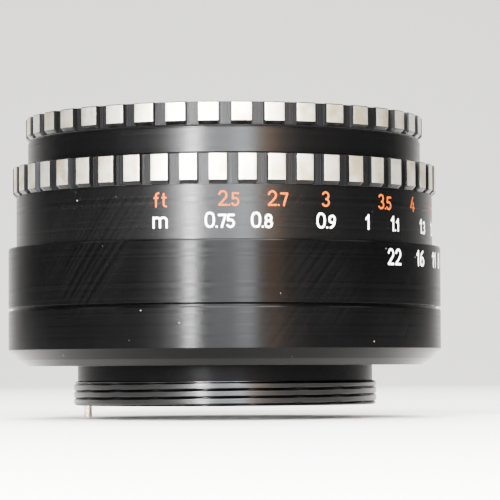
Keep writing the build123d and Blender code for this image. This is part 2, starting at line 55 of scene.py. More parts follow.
# ---- Places read from the frame ----


def reach(node):
    """The outer radius, bottom and top of a round CAD node, in millimetres."""
    low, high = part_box(node)
    return high.x / MM, low.z / MM, high.z / MM


BARREL_R, REAR_FACE, SEAM_TOP = reach("rear_barrel")
BARREL_TOP = reach("scale_barrel")[2]
FOCUS_R, SLEEVE_BOTTOM, FOCUS_TOP = reach("focus_ring")
APERTURE_R, APERTURE_BOTTOM, APERTURE_TOP = reach("aperture_ring")
FLANGE_R, THREAD_END, FLANGE_TOP = reach("mount_ring")
RIM_R, FILTER_BASE, FRONT_RIM = reach("filter_ring")
NAME_R, NAME_BOTTOM, NAME_TOP = reach("name_ring")
CONE_R, CONE_BOTTOM, CONE_TOP = reach("front_cone")
PLATE_R, PLATE_BOTTOM, PLATE_TOP = reach("rear_plate")
CELL_R, CELL_BOTTOM, CELL_TOP = reach("front_cell")
REAR_CELL_R, REAR_CELL_BOTTOM, REAR_CELL_TOP = reach("rear_cell")

SLEEVE_R = FOCUS_R - 0.5
BAND_R = APERTURE_R - 0.3
FOCUS_GRIP_BOTTOM = FOCUS_TOP - 4.0
APERTURE_GRIP_BOTTOM = APERTURE_TOP - 3.32
GROOVE_DEPTH = 0.75
FOCUS_LANDS = 48
FOCUS_LAND_WIDTH = 2.36
FOCUS_TOOTH_ANGLE = 1.1
APERTURE_LANDS = 40
APERTURE_LAND_WIDTH = 2.69
BARREL_BORE = 27.7
THREAD_R = 21.0
THREAD_DEPTH = 0.3
THREAD_PITCH = 1.0
THREAD_START = 0.44
THREAD_FLANK = 0.17
THREAD_RUNOUT = 0.3
LEAD_LENGTH = 0.35
LEAD_DEPTH = 0.25
THREAD_TOP = -2.1
COLLAR_R = 20.45
MOUNT_BORE_R = 19.8
PIN_AT = 19.05


# ---- Mesh tools ----


def link_mesh(name, bm):
    """An object in the scene made from a bmesh, which is then freed."""
    mesh = bpy.data.meshes.new(name)
    bm.to_mesh(mesh)
    bm.free()
    piece = bpy.data.objects.new(name, mesh)
    bpy.context.scene.collection.objects.link(piece)
    return piece


def weigh_normals(piece):
    """Keeps broad faces looking flat beside their narrow rounded edges."""
    weighted = piece.modifiers.new("weighted_normals", "WEIGHTED_NORMAL")
    weighted.keep_sharp = True


def make_object(name, bm, material, body, nodes=()):
    """A finished piece from a bmesh in millimetres, riding on its body."""
    bmesh.ops.recalc_face_normals(bm, faces=bm.faces)
    for face in bm.faces:
        face.smooth = True
    for edge in bm.edges:
        if len(edge.link_faces) == 2 and edge.calc_face_angle() > SHARP_ANGLE:
            edge.smooth = False
    bmesh.ops.scale(bm, vec=(MM, MM, MM), verts=bm.verts)
    piece = link_mesh(name, bm)
    for each in material if isinstance(material, list) else [material]:
        piece.data.materials.append(each)
    weigh_normals(piece)
    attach(piece, body)
    if nodes:
        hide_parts(*nodes)
    return piece


def soften(outline, radius):
    """The outline with each corner cut by a small curve."""
    result = []
    count = len(outline)
    for i, corner in enumerate(outline):
        here = Vector(corner)
        before = Vector(outline[i - 1]) - here
        after = Vector(outline[(i + 1) % count]) - here
        cut = min(radius, EDGE_SHARE * before.length, EDGE_SHARE * after.length)
        start = here + before.normalized() * cut
        end = here + after.normalized() * cut
        for t in (0.0, 0.5, 1.0):
            result.append(tuple((1 - t) ** 2 * start + 2 * t * (1 - t) * here + t**2 * end))
    return result


def grid_faces(bm, columns, close_columns=True, close_rows=True):
    """Quads between neighbouring columns of vertices, as a list of (face, column, row)."""
    made = []
    rows = len(columns[0])
    for c in range(len(columns) if close_columns else len(columns) - 1):
        left, right = columns[c], columns[(c + 1) % len(columns)]
        for r in range(rows if close_rows else rows - 1):
            above = (r + 1) % rows
            corners = (left[r], right[r], right[above], left[above])
            made.append((bm.faces.new(corners), c, r))
    return made


def column(bm, outline, angle):
    """The vertices of an outline of (radius, height) points at an angle round the axis."""
    cos, sin = math.cos(angle), math.sin(angle)
    return [bm.verts.new((r * cos, r * sin, z)) for r, z in outline]


def lathe_mesh(outline, radius=EDGE):
    """A ring turned about the optical axis from a closed outline that stays off the axis."""
    bm = bmesh.new()
    rounded = soften(outline, radius)
    columns = [column(bm, rounded, 2 * math.pi * i / SEGMENTS) for i in range(SEGMENTS)]
    grid_faces(bm, columns)
    return bm


def lathe(name, outline, material, body, nodes=(), radius=EDGE):
    return make_object(name, lathe_mesh(outline, radius), material, body, nodes)


def disc_solid(front, rear, segments=96):
    """A solid of revolution that reaches the axis, from its front and rear meridians."""
    bm = bmesh.new()
    outline = front[1:] + list(reversed(rear[1:]))
    columns = [column(bm, outline, 2 * math.pi * i / segments) for i in range(segments)]
    grid_faces(bm, columns, close_rows=False)
    for tip, row in ((front[0], 0), (rear[0], -1)):
        centre = bm.verts.new((0, 0, tip[1]))
        for c in range(segments):
            bm.faces.new((centre, columns[c][row], columns[(c + 1) % segments][row]))
    return bm


def cut_holes(piece, places, radius, depth, start):
    """Cuts round holes into a piece at (x, y) places, from a height upwards."""
    bm = bmesh.new()
    for x, y in places:
        made = bmesh.ops.create_cone(
            bm, cap_ends=True, segments=40, radius1=radius, radius2=radius, depth=depth
        )
        bmesh.ops.translate(bm, vec=(x, y, start + depth / 2), verts=made["verts"])
    bmesh.ops.scale(bm, vec=(MM, MM, MM), verts=bm.verts)
    cutter = link_mesh("cutter", bm)
    cutter_mesh = cutter.data
    piece.modifiers.clear()
    boolean = piece.modifiers.new("holes", "BOOLEAN")
    boolean.operation = "DIFFERENCE"
    boolean.solver = "EXACT"
    boolean.object = cutter
    bpy.context.view_layer.update()
    depsgraph = bpy.context.evaluated_depsgraph_get()
    drilled = bpy.data.meshes.new_from_object(piece.evaluated_get(depsgraph))
    piece.modifiers.clear()
    old = piece.data
    piece.data = drilled
    bpy.data.meshes.remove(old)
    bpy.data.objects.remove(cutter)
    bpy.data.meshes.remove(cutter_mesh)
    weigh_normals(piece)


# ---- Materials ----


class Shader:
    """A principled material and a few shorthands for the nodes that shape it."""

    def __init__(self, name, color, roughness, metallic=0.0):
        self.material = bpy.data.materials.new(name)
        self.material.use_nodes = True
        self.tree = self.material.node_tree
        self.bsdf = self.tree.nodes["Principled BSDF"]
        self.set("Base Color", (*color, 1.0))
        self.set("Roughness", roughness)
        self.set("Metallic", metallic)
        self.height = None
        where = self.tree.nodes.new("ShaderNodeTexCoord")
        self.place = where.outputs["Object"]
        split = self.tree.nodes.new("ShaderNodeSeparateXYZ")
        self.link(self.place, split.inputs[0])
        self.x, self.y, self.z = split.outputs

    def set(self, socket, value):
        self.bsdf.inputs[socket].default_value = value

    def link(self, output, target):
        self.tree.links.new(output, target)

    def math(self, operation, a, b=0.0):
        node = self.tree.nodes.new("ShaderNodeMath")
        node.operation = operation
        for socket, value in zip(node.inputs, (a, b)):
            if isinstance(value, (int, float)):
                socket.default_value = value
            else:
                self.link(value, socket)
        return node.outputs[0]

    def radius(self):
        """The distance from the optical axis."""
        squares = [self.math("MULTIPLY", part, part) for part in (self.x, self.y)]
        return self.math("SQRT", self.math("ADD", *squares))

    def turn(self):
        """The angle about the optical axis."""
        return self.math("ARCTAN2", self.y, self.x)

    def noise(self, scale, detail, along=None):
        """Noise in space, or along one number when along is given."""
        node = self.tree.nodes.new("ShaderNodeTexNoise")
        node.inputs["Scale"].default_value = scale
        node.inputs["Detail"].default_value = detail
        if along is None:
            self.link(self.place, node.inputs["Vector"])
        else:
            node.noise_dimensions = "1D"
            self.link(along, node.inputs["W"])
        return node.outputs["Fac"]

    def spread(self, value, low, high, out_low=0.0, out_high=1.0):
        """The value with its range from low to high moved to another range."""
        node = self.tree.nodes.new("ShaderNodeMapRange")
        for socket, number in zip(node.inputs[1:5], (low, high, out_low, out_high)):
            socket.default_value = number
        self.link(value, node.inputs[0])
        return node.outputs[0]

    def mix(self, share, first, second):
        """The first colour where the share is 0 and the second where it is 1."""
        node = self.tree.nodes.new("ShaderNodeMix")
        node.data_type = "RGBA"
        self.link(share, node.inputs[0])
        for socket, value in ((node.inputs[6], first), (node.inputs[7], second)):
            if isinstance(value, tuple):
                socket.default_value = (*value, 1.0)
            else:
                self.link(value, socket)
        return node.outputs[2]

    def color(self, output):
        self.link(output, self.bsdf.inputs["Base Color"])

    def roughness(self, output):
        self.link(output, self.bsdf.inputs["Roughness"])

    def bump(self, height, distance):
        """Adds relief, in millimetres of height, on top of what is there."""
        node = self.tree.nodes.new("ShaderNodeBump")
        node.inputs["Strength"].default_value = 1.0
        node.inputs["Distance"].default_value = distance * MM
        self.link(height, node.inputs["Height"])
        if self.height is not None:
            self.link(self.height, node.inputs["Normal"])
        self.height = node.outputs[0]
        self.link(self.height, self.bsdf.inputs["Normal"])


def turned_lines(shader, fine, coarse, depth):
    """Turning lines round the axis on a cylinder, a cone or a flat face. Returns the coarse ones."""
    path = shader.math("ADD", shader.z, shader.radius())
    lines = shader.noise(fine, 2.0, along=path)
    bands = shader.noise(coarse, 3.0, along=path)
    shader.bump(lines, depth)
    shader.bump(bands, depth * 1.5)
    return bands


def dust(shader, scale, size):
    """1 at small specks and 0 between them. About one cell of space in six holds a speck."""
    cells = shader.tree.nodes.new("ShaderNodeTexVoronoi")
    cells.inputs["Scale"].default_value = scale
    shader.link(shader.place, cells.inputs["Vector"])
    near = shader.spread(cells.outputs["Distance"], size, size * 0.6)
    split = shader.tree.nodes.new("ShaderNodeSeparateColor")
    shader.link(cells.outputs["Color"], split.inputs[0])
    chosen = shader.math("GREATER_THAN", split.outputs[0], 0.82)
    return shader.math("MULTIPLY", near, chosen)


def wiped_haze(shader):
    """Slanting wipe marks left in a thin haze of grease, in patches."""
    around = shader.math("MULTIPLY", shader.turn(), 29.0 * MM)
    sideways = shader.math("MULTIPLY", around, 0.8)
    upwards = shader.math("MULTIPLY", shader.z, 0.6)
    across = shader.math("SUBTRACT", sideways, upwards)
    streaks = shader.noise(1900.0, 3.0, along=across)
    patches = shader.noise(70.0, 3.0)
    marks = shader.spread(streaks, 0.35, 0.65)
    return shader.math("MULTIPLY", marks, shader.spread(patches, 0.47, 0.62))


def black_lacquer(name, roughness, depth=0.0022, haze=0.12, ior=1.14):
    """Glossy black over turned metal, with wiped haze and specks of dust."""
    color, dust_color = (0.0005, 0.0005, 0.00055), (0.12, 0.11, 0.10)
    shader = Shader(name, color, roughness)
    bands = turned_lines(shader, 9000.0, 1800.0, depth)
    veil = shader.math("MULTIPLY", wiped_haze(shader), haze)
    specks = dust(shader, 620.0, 0.07)
    grey = tuple(c + 0.005 for c in color)
    hazy = shader.mix(veil, color, grey)
    shader.color(shader.mix(specks, hazy, dust_color))
    polish = shader.spread(bands, 0.3, 0.7, roughness - 0.03, roughness + 0.03)
    shader.roughness(shader.math("ADD", polish, shader.math("MULTIPLY", veil, 0.16)))
    shader.bump(specks, 0.02)
    shader.set("IOR", ior)
    return shader.material


def groove_black(name):
    """Black anodised grooves, milled along the axis."""
    dark, worn = (0.002, 0.002, 0.002), (0.012, 0.012, 0.013)
    shader = Shader(name, dark, 0.3)
    lines = shader.noise(420.0, 4.0, along=shader.turn())
    shader.bump(lines, 0.012)
    grain = shader.noise(4200.0, 2.0)
    shader.bump(grain, 0.003)
    shader.color(shader.mix(shader.spread(lines, 0.5, 0.75), dark, worn))
    shader.roughness(shader.spread(lines, 0.3, 0.7, 0.22, 0.42))
    shader.set("IOR", 1.18)
    return shader.material


def bright_cut(name):
    """Grip lands that were skimmed to bare aluminium after anodising."""
    clean, stained = (0.58, 0.56, 0.48), (0.4, 0.35, 0.23)
    shader = Shader(name, clean, 0.45, 1.0)
    lines = shader.noise(9000.0, 2.0, along=shader.z)
    stains = shader.noise(420.0, 4.0)
    scuffs = shader.noise(2600.0, 3.0)
    shader.bump(lines, 0.0006)
    shader.bump(scuffs, 0.0014)
    shader.color(shader.mix(shader.spread(stains, 0.42, 0.68), clean, stained))
    shader.roughness(shader.spread(scuffs, 0.3, 0.7, 0.4, 0.5))
    return shader.material


def bare_metal(name, color, roughness):
    """Turned metal with darker stains."""
    shader = Shader(name, color, roughness, 1.0)
    bands = turned_lines(shader, 7500.0, 2500.0, 0.003)
    stains = shader.noise(500.0, 4.0)
    dark = tuple(c * 0.72 for c in color)
    shader.color(shader.mix(shader.spread(stains, 0.45, 0.75), color, dark))
    shader.roughness(shader.spread(bands, 0.3, 0.7, roughness - 0.06, roughness + 0.1))
    return shader.material


def matt_black(name, color=(0.004, 0.004, 0.0043), roughness=0.5, ior=1.2):
    """Matt black anodising with a fine grain."""
    shader = Shader(name, color, roughness)
    turned_lines(shader, 7000.0, 1500.0, 0.003)
    grain = shader.noise(6000.0, 2.0)
    shader.bump(grain, 0.003)
    light = tuple(c * 2.2 for c in color)
    shader.color(shader.mix(shader.spread(grain, 0.4, 0.8), color, light))
    shader.roughness(shader.spread(grain, 0.3, 0.7, roughness - 0.07, roughness + 0.1))
    shader.set("IOR", ior)
    return shader.material


def enamel(name, color, dull):
    """Paint filled into engraving, a little uneven and dirty in patches."""
    shader = Shader(name, color, 0.5)
    patches = shader.noise(3500.0, 3.0)
    shader.color(shader.mix(shader.spread(patches, 0.45, 0.8), color, dull))
    shader.roughness(shader.spread(patches, 0.3, 0.7, 0.4, 0.6))
    shader.bump(patches, 0.006)
    shader.set("Specular IOR Level", 0.06)
    return shader.material


def coated_glass(name, thickness):
    """Glass with a single-layer coating of the given thickness in nanometres."""
    shader = Shader(name, (1.0, 1.0, 1.0), 0.0)
    shader.set("Transmission Weight", 1.0)
    shader.set("IOR", 1.62)
    shader.set("Thin Film Thickness", thickness)
    shader.set("Thin Film IOR", 1.38)
    smears = shader.noise(220.0, 4.0)
    shader.roughness(shader.spread(smears, 0.45, 0.75, 0.0, 0.025))
    return shader.material


LACQUER = black_lacquer("barrel_lacquer", 0.2)
RING_BLACK = black_lacquer("ring_anodised", 0.24, depth=0.0025, haze=0.1, ior=1.22)
GROOVE = groove_black("milled_groove")
LAND = bright_cut("bright_cut_land")
MOUNT_BLACK = black_lacquer("mount_anodised", 0.24, haze=0.1, ior=1.3)
# Painted shade: the collar, flange and ledge get a darker, less reflective black than the front parts,
# standing in for the shade they sit in under the barrel.
COLLAR_SHADED_BLACK = matt_black("collar_anodised_painted_shade", (0.0012, 0.0012, 0.0013), 0.3, 1.08)
FRONT_BLACK = matt_black("front_anodised")
INNER_BLACK = matt_black("inner_anodised", roughness=0.6)
WHITE = enamel("white_enamel", (0.9, 0.9, 0.88), (0.72, 0.71, 0.67))
ORANGE = enamel("orange_enamel", (0.24, 0.045, 0.0), (0.18, 0.033, 0.0))
ALLOY = bare_metal("machined_alloy", (0.62, 0.62, 0.61), 0.35)
BRASS = bare_metal("greased_brass", (0.72, 0.53, 0.25), 0.32)
SCREW_STEEL = bare_metal("screw_steel", (0.42, 0.42, 0.43), 0.32)
BRIGHT_STEEL = bare_metal("bright_steel", (0.62, 0.62, 0.61), 0.28)
PIN_STEEL = bare_metal("pin_steel", (0.84, 0.74, 0.58), 0.2)
SPRING_STEEL = bare_metal("spring_steel", (0.4, 0.4, 0.42), 0.3)
BLADE_STEEL = bare_metal("blade_steel", (0.09, 0.09, 0.1), 0.42)
FRONT_GLASS = coated_glass("front_glass", 112.0)
INNER_GLASS = coated_glass("inner_glass", 125.0)


# ---- Engraving: one-line characters on a box one unit high ----


def bow(cx, cy, rx, ry, start, end, steps=12):
    """Points along an ellipse from one angle to another, in degrees."""
    angles = [math.radians(start + (end - start) * i / steps) for i in range(steps + 1)]
    return [(cx + rx * math.cos(a), cy + ry * math.sin(a)) for a in angles]


def oval(cx, cy, rx, ry, power=2.5):
    """A closed rounded oval, squarer than an ellipse."""
    steps = 36
    points = []
    for i in range(steps):
        a = 2 * math.pi * i / steps
        c, s = math.cos(a), math.sin(a)
        x = math.copysign(abs(c) ** (2 / power), c)
        y = math.copysign(abs(s) ** (2 / power), s)
        points.append((cx + rx * x, cy + ry * y))
    return points + [points[0]]


LOW, HIGH = 0.07, 0.93

# Each character is its width and its strokes; a stroke that ends where it starts is a closed loop.
# The character ~ is the infinity sign.
GLYPHS = {
    "0": (0.60, [oval(0.30, 0.5, 0.23, 0.43)]),
    "1": (0.36, [[(0.06, 0.70), (0.24, HIGH)], [(0.24, HIGH), (0.24, LOW)]]),
    "2": (0.58, [bow(0.29, 0.68, 0.21, 0.25, 165, -38) + [(0.08, LOW)], [(0.08, LOW), (0.52, LOW)]]),
    "3": (0.56, [bow(0.27, 0.71, 0.19, 0.22, 150, -80), bow(0.27, 0.29, 0.21, 0.22, 80, -150)]),
    "4": (0.60, [[(0.36, HIGH), (0.06, 0.28), (0.56, 0.28)], [(0.42, 0.60), (0.42, LOW)]]),
    "5": (0.56, [[(0.13, HIGH), (0.48, HIGH)], [(0.13, HIGH), (0.11, 0.56)],
                 [(0.11, 0.56)] + bow(0.27, 0.32, 0.22, 0.26, 118, -150)]),
    "6": (0.58, [oval(0.29, 0.31, 0.21, 0.24, 2.1), bow(0.50, 0.36, 0.42, 0.58, 178, 105)]),
    "7": (0.54, [[(0.06, HIGH), (0.49, HIGH)], [(0.49, HIGH), (0.36, 0.5), (0.24, LOW)]]),
    "8": (0.58, [oval(0.29, 0.72, 0.18, 0.21, 2.1), oval(0.29, 0.29, 0.21, 0.23, 2.1)]),
    "9": (0.58, [oval(0.29, 0.69, 0.21, 0.24, 2.1), bow(0.08, 0.64, 0.42, 0.58, -2, -75)]),
    ".": (0.20, [[(0.10, 0.08), (0.10, 0.085)]]),
    ":": (0.24, [[(0.12, 0.18), (0.12, 0.185)], [(0.12, 0.62), (0.12, 0.625)]]),
    "=": (0.54, [[(0.08, 0.36), (0.46, 0.36)], [(0.08, 0.60), (0.46, 0.60)]]),
    "f": (0.50, [bow(0.34, 0.76, 0.16, 0.17, 90, 180, 8) + [(0.18, LOW)], [(0.08, 0.63), (0.30, 0.63)]]),
    "t": (0.40, [[(0.17, 0.88)] + bow(0.31, 0.22, 0.14, 0.15, 180, 275, 8), [(0.08, 0.63), (0.30, 0.63)]]),
    "m": (0.98, [[(0.09, 0.74), (0.09, LOW)],
                 bow(0.28, 0.52, 0.19, 0.21, 180, 0, 10) + [(0.47, LOW)],
                 bow(0.67, 0.52, 0.20, 0.21, 180, 0, 10) + [(0.87, LOW)]]),
    "~": (0.98, [bow(0.26, 0.45, 0.19, 0.20, 45, 315, 20) + bow(0.72, 0.45, 0.19, 0.20, -135, 135, 20)
                 + bow(0.26, 0.45, 0.19, 0.20, 45, 46, 1)]),
    " ": (0.35, []),
}

STROKE = 0.13
BEAD_RISE = 0.014
BEAD_DEPTH = 0.05
BEAD_ARC = ((-1, 0), (-0.55, 0.75), (0, 1), (0.55, 0.75), (1, 0))
CAP_ANGLES = (0.4, 0.8, 1.15, 1.45)


def bead_ring(bm, place, point, normal, half_width, rise):
    """The vertices across a stroke, from its buried left edge over the top to the right."""
    arc = [(across, share * rise) for across, share in BEAD_ARC]
    ring = []
    for across, height in [(-1, -BEAD_DEPTH), *arc, (1, -BEAD_DEPTH)]:
        offset = point + normal * across * half_width
        ring.append(bm.verts.new(place(offset.x, offset.y, height)))
    return ring


def stroke_bead(bm, points, half_width, place):
    """A stroke of paint along a line of 2-D points, round at its ends or closed on itself."""
    points = [Vector(p) for p in points]
    closed = len(points) > 3 and (points[0] - points[-1]).length < 1e-6
    if closed:
        points.pop()
    count = len(points)
    rings = []
    for i, point in enumerate(points):
        before = points[i - 1] if closed or i else point
        after = points[(i + 1) % count] if closed or i < count - 1 else point
        along = (after - before).normalized()
        normal = Vector((-along.y, along.x))
        rings.append(bead_ring(bm, place, point, normal, half_width, BEAD_RISE))
        if not closed and i in (0, count - 1):
            outward = -along if i == 0 else along
            caps = []
            for angle in CAP_ANGLES:
                shrink = math.cos(angle)
                tip = point + outward * half_width * math.sin(angle)
                caps.append(bead_ring(bm, place, tip, normal, half_width * shrink, BEAD_RISE * shrink))
            rings = caps[::-1] + rings if i == 0 else rings + caps
    grid_faces(bm, rings, close_columns=closed)
    if not closed:
        bm.faces.new(rings[0])
        bm.faces.new(rings[-1][::-1])


def lay_out(text, height, small, wide, gap):
    """Each character's strokes, start and size, with decimals cut smaller, and the line's length."""
    cursor = 0.0
    size = height
    laid = []
    for character in text:
        if character == ".":
            size = height * small
        width, strokes = GLYPHS[character]
        laid.append((strokes, cursor, size))
        cursor += (width + gap) * size * wide
    return laid, cursor


def write(bm, text, height, place, small=1.0, wide=1.0, gap=0.0):
    """Writes a line of text centred on the origin of place(u, v, rise)."""
    laid, length = lay_out(text, height, small, wide, gap)
    for strokes, start, size in laid:
        for line in strokes:
            points = [(start - length / 2 + x * size * wide, y * size) for x, y in line]
            stroke_bead(bm, points, STROKE * height / 2, place)


def on_cylinder(radius, bearing, base):
    """Text that stands on a cylinder, read with +Z upwards. Bearing is in degrees from +X."""

    def place(u, v, rise):
        angle = math.radians(bearing) + u / radius
        return ((radius + rise) * math.cos(angle), (radius + rise) * math.sin(angle), base + v)

    return place


def on_face(radius, bearing, height):
    """Text round a flat front face, its feet towards the axis."""

    def place(u, v, rise):
        angle = math.radians(bearing) - u / radius
        return ((radius + v) * math.cos(angle), (radius + v) * math.sin(angle), height + rise)

    return place


# ---- Barrel ----


def rear_barrel():
    seat_r, lip_r, face_r, seam_r = 25.05, 21.5, 27.3, 29.4
    lip_top, seam_bottom = 3.0, 7.6
    outline = [
        (seat_r, REAR_FACE),
        (face_r, REAR_FACE),
        (28.55, 0.85),
        (BARREL_R, 2.2),
        (BARREL_R, seam_bottom - 0.22),
        (BARREL_R - 0.07, seam_bottom - 0.03),
        (BARREL_R - 0.1, seam_bottom),
        (seam_r, seam_bottom),
        (seam_r, SEAM_TOP),
        (BARREL_BORE, SEAM_TOP),
        (BARREL_BORE, lip_top),
        (lip_r, lip_top),
        (lip_r, FLANGE_TOP),
        (seat_r, FLANGE_TOP),
    ]
    lathe("rear_barrel_shell", outline, LACQUER, "barrel", ["rear_barrel"], radius=0.02)


def scale_barrel():
    pocket_r, pocket_floor = 29.1, 9.5
    outline = [
        (BARREL_BORE, SEAM_TOP),
        (BARREL_R - 0.03, SEAM_TOP),
        (BARREL_R, SEAM_TOP + 0.03),
        (BARREL_R, BARREL_TOP - 0.24),
        (BARREL_R - 0.08, BARREL_TOP - 0.03),
        (BARREL_R - 0.12, BARREL_TOP),
        (pocket_r, BARREL_TOP),
        (pocket_r, pocket_floor),
        (BARREL_BORE, pocket_floor),
    ]
    lathe("scale_barrel_shell", outline, LACQUER, "barrel", ["scale_barrel"], radius=0.02)


# Degrees from the index line for each unit of the f-number.
DEPTH_STEP = 2.10
DEPTH_STOPS = ("22", "16", "11", "8", "4")
DEPTH_BASE = 13.05
DEPTH_HEIGHT = 2.2


def depth_scale():
    """Depth-of-field figures either side of the index line."""
    bm = bmesh.new()
    for stop in DEPTH_STOPS:
        for side in (-1, 1):
            place = on_cylinder(BARREL_R, side * DEPTH_STEP * float(stop), DEPTH_BASE)
            write(bm, stop, DEPTH_HEIGHT, place, wide=1.04, gap=0.1)
    line = on_cylinder(BARREL_R, 0, 0)
    stroke_bead(bm, [(0, DEPTH_BASE - 0.4), (0, BARREL_TOP - 0.25)], 0.17, line)
    make_object("depth_scale_figures", bm, WHITE, "barrel")


def thread_radius(angle, z):
    """The mount thread's radius: broad crests, narrow roots, fading out at both ends."""
    root = THREAD_R - THREAD_DEPTH
    phase = (z / THREAD_PITCH - angle / (2 * math.pi) + THREAD_START) % 1.0
    full = root + THREAD_DEPTH * min(1.0, abs(phase - 0.5) / THREAD_FLANK)
    tail = min(1.0, max(0.0, (THREAD_TOP - z) / THREAD_RUNOUT))
    lead = min(1.0, max(0.0, (z - THREAD_END) / LEAD_LENGTH))
    chamfer = THREAD_R - LEAD_DEPTH * (1 - lead)
    return min(root + (full - root) * tail, chamfer)


def mount_thread():
    """The M42 x 1 thread, as one solid with its bore."""
    rows = 66
    bore_edge = 0.2
    bore = [
        (MOUNT_BORE_R, THREAD_TOP),
        (MOUNT_BORE_R, THREAD_END + bore_edge),
        (MOUNT_BORE_R + bore_edge, THREAD_END),
    ]
    heights = [THREAD_END + (THREAD_TOP - THREAD_END) * i / rows for i in range(rows + 1)]
    bm = bmesh.new()
    columns = []
    for i in range(SEGMENTS):
        angle = 2 * math.pi * i / SEGMENTS
        outline = [(thread_radius(angle, z), z) for z in heights]
        columns.append(column(bm, outline + bore, angle))
    grid_faces(bm, columns)
    make_object("mount_thread", bm, MOUNT_BLACK, "barrel", ["mount_ring"])


def mount_flange():
    """The flange with its collar and screw recesses, and the notched ledge in its bore."""
    outline = [
        (MOUNT_BORE_R, THREAD_TOP),
        (COLLAR_R, THREAD_TOP),
        (COLLAR_R, 0),
        (FLANGE_R, 0),
        (FLANGE_R, FLANGE_TOP),
        (MOUNT_BORE_R, FLANGE_TOP),
    ]
    flange = lathe("mount_flange", outline, COLLAR_SHADED_BLACK, "barrel", ["mount_ring"])
    screws_r, recess_r, recess_depth = 22.9, 1.0, 0.62
    places = [polar_place(screws_r, -angle) for angle in (60, 180, 300)]
    cut_holes(flange, places, recess_r, recess_depth, -0.01)
    ledge_r, ledge_rise = 18.2, 1.2
    ledge_root = MOUNT_BORE_R + 0.02
    ledge = [
        (ledge_r, PLATE_TOP),
        (ledge_root, PLATE_TOP),
        (ledge_root, PLATE_TOP + ledge_rise),
        (ledge_r, PLATE_TOP + ledge_rise),
    ]
    bm = lathe_mesh(ledge)
    notch_half = math.radians(25)
    notched = [f for f in bm.faces if abs(abs(math.atan2(*f.calc_center_median().yx)) - math.pi) < notch_half]
    bmesh.ops.delete(bm, geom=notched, context="FACES")
    bmesh.ops.holes_fill(bm, edges=[e for e in bm.edges if e.is_boundary], sides=0)
    make_object("mount_ledge", bm, COLLAR_SHADED_BLACK, "barrel", ["mount_ring"])


def polar_place(radius, degrees):
    """The (x, y) place at a radius and a bearing from +X."""
    return (radius * math.cos(math.radians(degrees)), radius * math.sin(math.radians(degrees)))


def rear_plate():
    """The light baffle, with shallow grooves round its opening."""
    hole_r = 10.5
    groove_top = PLATE_BOTTOM + 0.2
    outline = [(hole_r, PLATE_TOP), (hole_r, PLATE_BOTTOM)]
    for step in range(3):
        r = hole_r + 0.9 + 0.8 * step
        outline += [(r, PLATE_BOTTOM), (r + 0.15, groove_top), (r + 0.5, groove_top)]
    outline += [(hole_r + 3.4, PLATE_BOTTOM), (PLATE_R, PLATE_BOTTOM), (PLATE_R, PLATE_TOP)]
    plate = lathe("rear_baffle", outline, INNER_BLACK, "barrel", ["rear_plate"], radius=0.04)
    screws_r, recess_r, recess_depth = 19.0, 0.74, 0.45
    places = [polar_place(screws_r, -angle) for angle in (20, 140, 260)]
    cut_holes(plate, places, recess_r, recess_depth, PLATE_BOTTOM - 0.02)
    pin_hole_r, pin_hole_depth = 0.6, 1.2
    cut_holes(plate, [(-PIN_AT, 0)], pin_hole_r, pin_hole_depth, PLATE_BOTTOM - 0.1)


def aperture_pin():
    """The polished pin with a domed tip and a collar."""
    low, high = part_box("aperture_pin")
    tip, head = low.z / MM, high.z / MM
    pin_r, head_edge, dome = 0.55, 0.08, 0.26
    collar_r, collar_top, collar_bottom = 0.7, -3.0, -3.5
    front = [
        (0, head),
        (pin_r - head_edge, head),
        (pin_r, head - head_edge),
        (pin_r, collar_top),
        (collar_r, collar_top),
        (collar_r, collar_bottom),
        (pin_r, collar_bottom),
    ]
    rear = [(0, tip)]
    for angle in (0.35, 0.75, 1.1, 1.4, math.pi / 2):
        rear.append((pin_r * math.sin(angle), tip + dome * (1 - math.cos(angle))))
    bm = disc_solid(front, rear, 48)
    bmesh.ops.translate(bm, vec=(-PIN_AT, 0, 0), verts=bm.verts)
    make_object("aperture_pin_polished", bm, PIN_STEEL, "aperture_pin", ["aperture_pin"])


# ---- Grip rings ----


def grip_columns(count, land_width, radius, tooth_angle):
    """Angles round a toothed ring with how deep each is: 0 on a land, 1 in a groove."""
    pitch = 2 * math.pi / count
    half_land = land_width / 2 / radius
    edge = 0.06 / radius
    shoulder = 0.08
    floor_steps = 4
    stations = []
    for tooth in range(count):
        centre = math.radians(tooth_angle) + tooth * pitch
        for step in (-1, -0.6, -0.2, 0.2, 0.6, 1):
            stations.append((centre + step * (half_land - edge), 0.0))
        stations.append((centre + half_land, shoulder))
        start, end = centre + half_land + edge * 0.4, centre + pitch - half_land - edge * 0.4
        for step in range(floor_steps + 1):
            stations.append((start + (end - start) * step / floor_steps, 1.0))
        stations.append((centre + pitch - half_land, shoulder))
    return stations


def grip_ring(ring, outline, count, land_width, tooth_angle=0.0):
    """A toothed ring. Each outline point is (land radius, groove radius, height, is the land's face)."""
    bm = bmesh.new()
    stations = grip_columns(count, land_width, max(point[0] for point in outline), tooth_angle)
    columns = []
    for angle, depth in stations:
        section = [(land + (groove - land) * depth, z) for land, groove, z, face in outline]
        columns.append(column(bm, section, angle))
    for face, c, r in grid_faces(bm, columns):
        depths = (stations[c][1], stations[(c + 1) % len(stations)][1])
        after = outline[(r + 1) % len(outline)]
        toothed = outline[r][0] != outline[r][1] or after[0] != after[1]
        if outline[r][3] and max(depths) == 0:
            face.material_index = 1
        elif toothed and max(depths) > 0:
            face.material_index = 2
    make_object(ring + "_body", bm, [RING_BLACK, LAND, GROOVE], ring, [ring])


